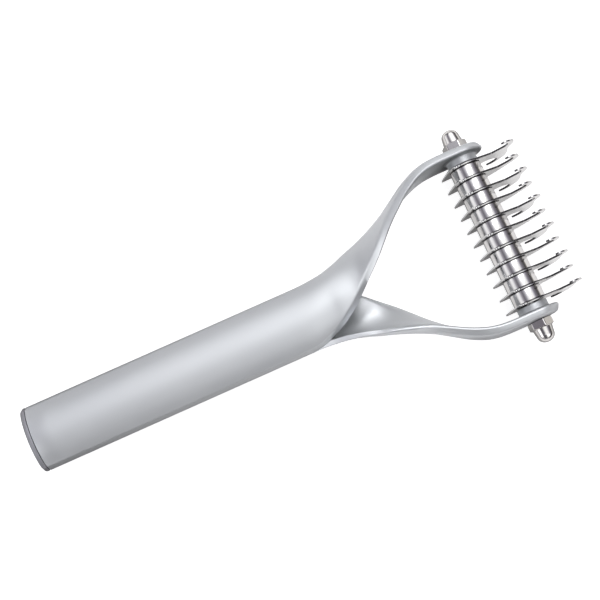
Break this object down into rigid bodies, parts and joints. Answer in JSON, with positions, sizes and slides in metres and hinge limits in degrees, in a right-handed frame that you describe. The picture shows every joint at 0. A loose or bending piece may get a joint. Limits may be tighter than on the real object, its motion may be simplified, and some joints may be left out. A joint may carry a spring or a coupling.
{
  "type": "undercoat rake",
  "caption": "Grooming rake with an oval metal handle that splits into two twisted arms, holding hooked blades and spacer rings on an axle with domed nuts.",
  "frame": {"origin": "centre of the flat face at the butt end of the handle", "axes": "+X along the handle towards the blades, +Y along the axle towards the upper arm, +Z out of the front face, the side the open hooks of every blade point to"},
  "size_m": [0.196, 0.0834, 0.0228],
  "materials": {
    "satin_metal": "satin, fine bead-blasted silver grey",
    "satin_cap": "satin, slightly darker grey",
    "polished_steel": "mirror polished",
    "blade_steel": "fine ground, polished edges",
    "rod_steel": "plain turned steel"
  },
  "bodies": {
    "handle": {"front_half": "satin_metal", "rear_half": "satin_metal", "butt_cap": "satin_cap", "locating_pin_1": "rod_steel", "locating_pin_2": "rod_steel"},
    "blade_pack": {"axle": "rod_steel", "blade_01": "blade_steel", "blade_02": "blade_steel", "blade_03": "blade_steel", "blade_04": "blade_steel", "blade_05": "blade_steel", "blade_06": "blade_steel", "blade_07": "blade_steel", "blade_08": "blade_steel", "blade_09": "blade_steel", "blade_10": "blade_steel", "blade_11": "blade_steel", "spacer_01": "polished_steel", "spacer_02": "polished_steel", "spacer_03": "polished_steel", "spacer_04": "polished_steel", "spacer_05": "polished_steel", "spacer_06": "polished_steel", "spacer_07": "polished_steel", "spacer_08": "polished_steel", "spacer_09": "polished_steel", "spacer_10": "polished_steel"},
    "upper_nut": {"upper_cap_nut": "polished_steel"},
    "lower_nut": {"lower_cap_nut": "polished_steel"}
  },
  "joints": [
    {"name": "pack_turn", "type": "hinge", "parent": "handle", "child": "blade_pack", "pos_m": [0.178, 0, 0], "axis": [0, 1, 0], "continuous": true},
    {"name": "upper_nut_turn", "type": "hinge", "parent": "blade_pack", "child": "upper_nut", "pos_m": [0.178, 0, 0], "axis": [0, 1, 0], "continuous": true},
    {"name": "lower_nut_turn", "type": "hinge", "parent": "blade_pack", "child": "lower_nut", "pos_m": [0.178, 0, 0], "axis": [0, 1, 0], "continuous": true}
  ]
}
